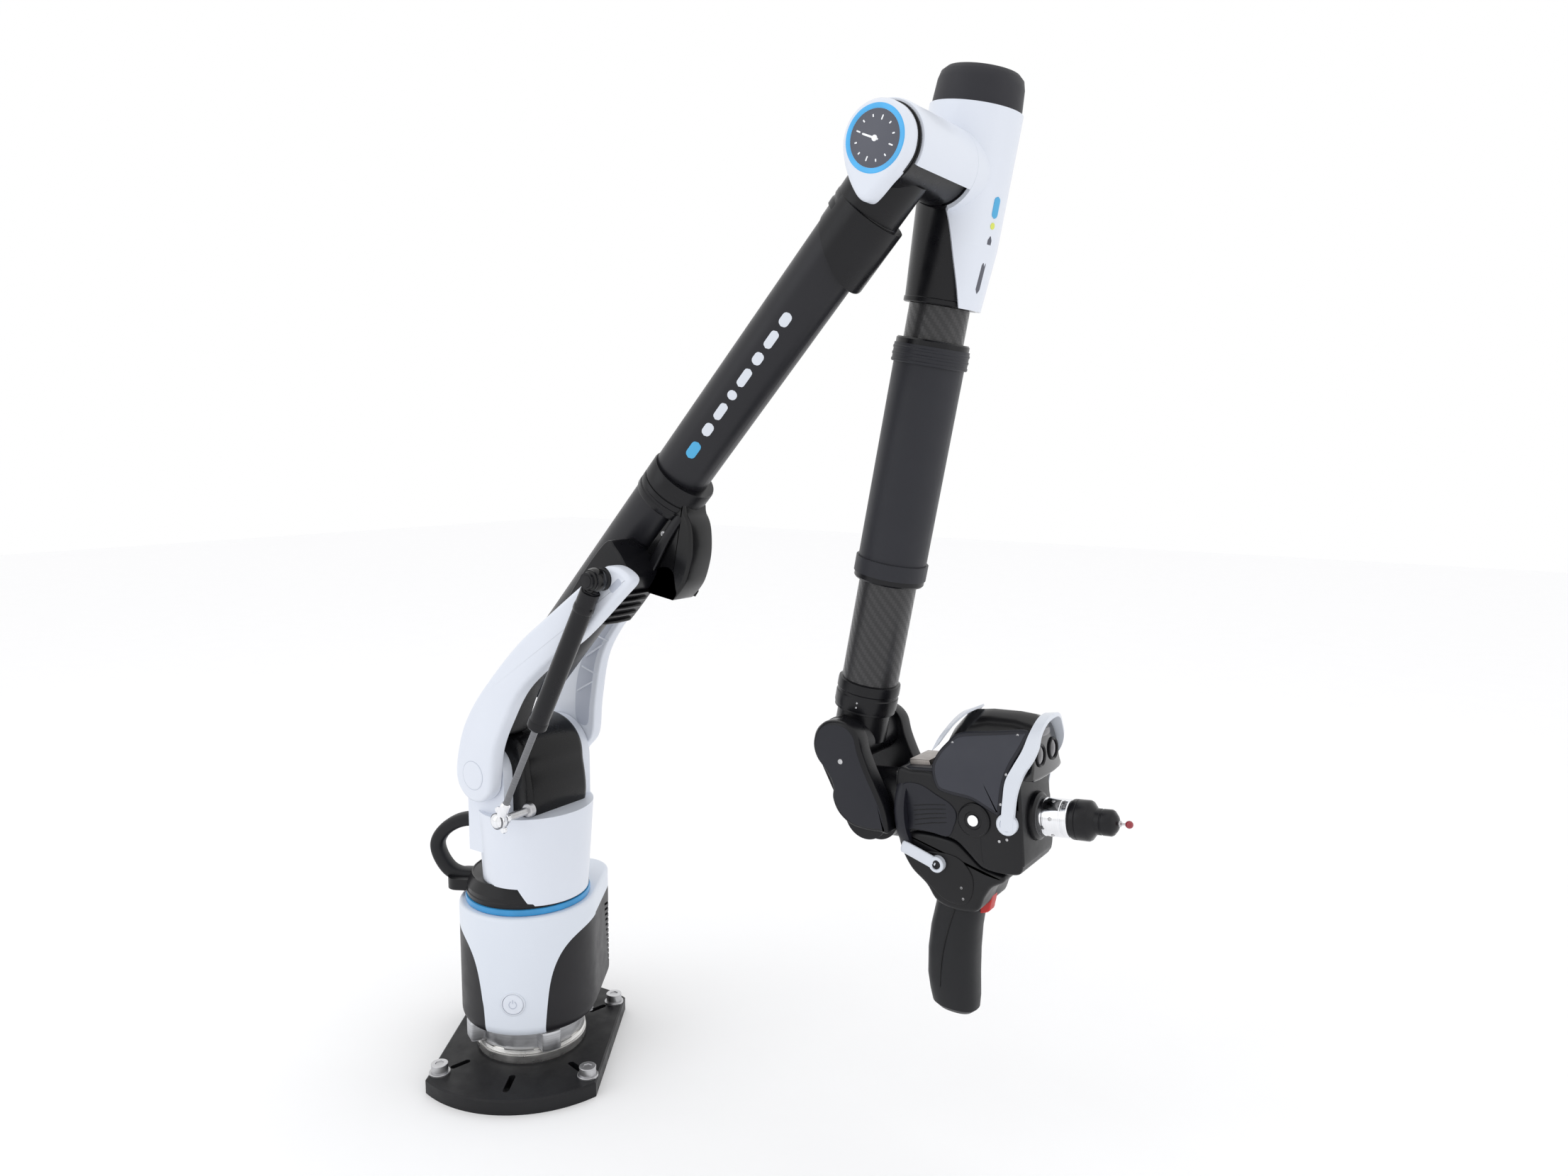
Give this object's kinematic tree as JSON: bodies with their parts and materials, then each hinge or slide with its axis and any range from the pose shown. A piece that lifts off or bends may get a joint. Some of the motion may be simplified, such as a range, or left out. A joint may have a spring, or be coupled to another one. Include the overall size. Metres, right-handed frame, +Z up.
{
  "type": "portable measuring arm",
  "caption": "Jointed portable measuring arm on a bolted base plate, with a leaning upper arm, gas strut, hanging forearm, pistol-grip hand with touch probe and line scanner.",
  "frame": {"origin": "on the base swivel axis, at the underside of the base plate", "axes": "+Z up along the swivel axis; +X the direction in which the upper arm leans at rest; Y along the shoulder, elbow and wrist hinge axes"},
  "size_m": [0.6721, 0.2515, 0.9093],
  "materials": {
    "white_shell": "satin white shell",
    "black_shell": "satin black shell",
    "black_metal": "black anodised aluminium",
    "plate_black": "black powder coat",
    "bright_steel": "turned steel",
    "bearing_steel": "ground steel",
    "aluminium": "turned aluminium",
    "chrome": "polished",
    "tube_grey": "satin dark grey tube",
    "carbon": "woven carbon fibre",
    "battery": "moulded case",
    "light_blue": "translucent light guide",
    "dial_grey": "matt dial",
    "white_trim": "gloss trim",
    "lens": "dark window bezel",
    "ruby": "polished ruby ball",
    "trigger_red": "satin red",
    "grip_rubber": "soft-touch",
    "button_white": "gloss button"
  },
  "bodies": {
    "base": {"base_plate": "plate_black", "plate_screws": "bright_steel", "mount_ring": "bright_steel", "lock_nut": "aluminium", "base_frame": "aluminium", "swivel_bearings": "bearing_steel", "battery_pack": "battery", "base_housing": "white_shell", "side_panel_right": "black_shell", "side_panel_left": "black_shell", "rear_cover": "black_shell", "base_light_ring": "light_blue"},
    "power_switch": {"power_button": "button_white"},
    "turret": {"swivel_shaft": "bearing_steel", "turret_ring": "black_shell", "turret_core": "black_shell", "turret_housing": "white_shell", "shoulder_barrel": "black_metal", "shoulder_bearings": "bearing_steel", "carry_handle": "grip_rubber", "strut_bracket": "chrome"},
    "fork": {"fork_arm_near": "white_shell", "fork_arm_far": "white_shell", "fork_casting": "black_metal", "shoulder_axle": "bearing_steel", "strut_stud": "black_metal", "parking_cradle": "black_shell"},
    "strut_tube": {"strut_cylinder": "black_metal"},
    "strut_piston": {"strut_rod": "bright_steel"},
    "upper_arm": {"upper_tube": "tube_grey", "tube_collars": "black_metal", "elbow_yoke": "black_metal", "disc_shell": "white_shell", "disc_light_ring": "light_blue", "disc_face": "dial_grey"},
    "elbow": {"elbow_axle": "bearing_steel", "forearm_housing": "black_metal", "elbow_cover": "white_shell", "forearm_cap": "black_shell"},
    "forearm": {"forearm_tube": "carbon", "forearm_sleeve": "grip_rubber", "wrist_knuckle": "black_metal"},
    "wrist": {"wrist_yoke": "black_metal", "yoke_covers": "black_shell", "wrist_axle": "bearing_steel"},
    "hand": {"handle_ring": "aluminium", "handle_body": "black_shell", "scanner_body": "black_shell", "scanner_covers": "black_shell", "front_frame": "white_trim", "rear_trim": "white_trim", "lens_bezel": "lens", "probe_mount": "chrome", "probe_body": "black_metal", "stylus_tip": "ruby", "grip_mount": "black_shell", "grip": "grip_rubber"},
    "hand_button": {"mode_button": "button_white"},
    "trigger": {"trigger": "trigger_red"},
    "grip_lever": {"grip_lever": "black_metal"}
  },
  "joints": [
    {"name": "base_swivel", "type": "hinge", "parent": "base", "child": "turret", "pos_m": [0, 0, 0.2], "axis": [0, 0, 1], "continuous": true},
    {"name": "shoulder_hinge", "type": "hinge", "parent": "turret", "child": "fork", "pos_m": [0, 0, 0.298], "axis": [0, 1, 0], "range_deg": [-40, 40]},
    {"name": "upper_roll", "type": "hinge", "parent": "fork", "child": "upper_arm", "pos_m": [-0.03175, 0, 0.32699], "axis": [0.6743, 0, 0.7385], "continuous": true},
    {"name": "elbow_hinge", "type": "hinge", "parent": "upper_arm", "child": "elbow", "pos_m": [0.40722, 0, 0.80773], "axis": [0, -1, 0], "range_deg": [-10, 145]},
    {"name": "forearm_roll", "type": "hinge", "parent": "elbow", "child": "forearm", "pos_m": [0.40722, 0.0915, 0.80773], "axis": [-0.1857, 0, -0.9826], "continuous": true},
    {"name": "wrist_hinge", "type": "hinge", "parent": "forearm", "child": "wrist", "pos_m": [0.32144, 0.0915, 0.35376], "axis": [0, -1, 0], "range_deg": [-80, 38]},
    {"name": "hand_roll", "type": "hinge", "parent": "wrist", "child": "hand", "pos_m": [0.3269, 0.0915, 0.29702], "axis": [0.9954, 0, 0.0958], "range_deg": [-120, 120]},
    {"name": "strut_top_pivot", "type": "hinge", "parent": "fork", "child": "strut_tube", "pos_m": [0.168, -0.074, 0.493], "axis": [0, 1, 0], "range_deg": [-1.2, 1.2]},
    {"name": "strut_stroke", "type": "slide", "parent": "strut_tube", "child": "strut_piston", "axis": [-0.475, 0, -0.88], "range_m": [-0.038, 0.038]},
    {"name": "power_press", "type": "slide", "parent": "base", "child": "power_switch", "axis": [-0.5446, 0.8387, 0], "range_m": [0, 0.0015], "stiffness_N_per_m": 800},
    {"name": "hand_button_press", "type": "slide", "parent": "hand", "child": "hand_button", "axis": [0, 1, 0], "range_m": [0, 0.0015], "stiffness_N_per_m": 800},
    {"name": "trigger_pull", "type": "slide", "parent": "hand", "child": "trigger", "axis": [-0.9954, 0, -0.0958], "range_m": [0, 0.004], "stiffness_N_per_m": 600},
    {"name": "grip_lever_hinge", "type": "hinge", "parent": "hand", "child": "grip_lever", "pos_m": [0.41326, 0.0915, 0.26616], "axis": [0, -1, 0], "range_deg": [0, 70]}
  ],
  "couplings": [
    {"joint": "strut_top_pivot", "follows": "shoulder_hinge", "ratio": -0.015},
    {"joint": "strut_stroke", "follows": "shoulder_hinge", "m_per_rad": -0.0528}
  ]
}
